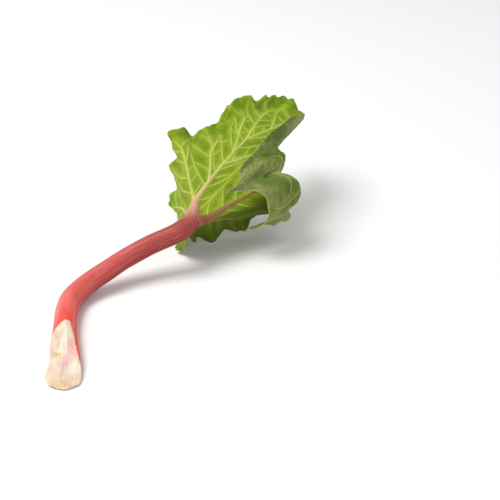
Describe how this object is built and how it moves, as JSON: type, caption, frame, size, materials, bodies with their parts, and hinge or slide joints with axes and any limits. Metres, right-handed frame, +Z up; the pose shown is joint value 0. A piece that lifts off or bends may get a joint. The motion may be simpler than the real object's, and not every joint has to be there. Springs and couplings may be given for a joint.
{
  "type": "rhubarb stalk",
  "caption": "Cut rhubarb stick lying down: a long curved ribbed stalk with a pale flared heel, and one large heart-shaped leaf with wavy edges standing up from its fork.",
  "frame": {"origin": "on the table, on the flat spot under the flared heel of the stalk", "axes": "+Z up, +Y the way the stalk leaves its heel and the longest side of the part, +X the side to which the stalk bends and the leaf stands"},
  "size_m": [0.2846, 0.4887, 0.1348],
  "materials": {
    "stalk": "satin skin, crimson to coral red, pale cream at the heel",
    "leaf": "matte, yellow-green below and dull grey-green above, pale veins"
  },
  "bodies": {
    "root": {"stalk": "stalk", "leaf": "leaf"}
  },
  "joints": []
}
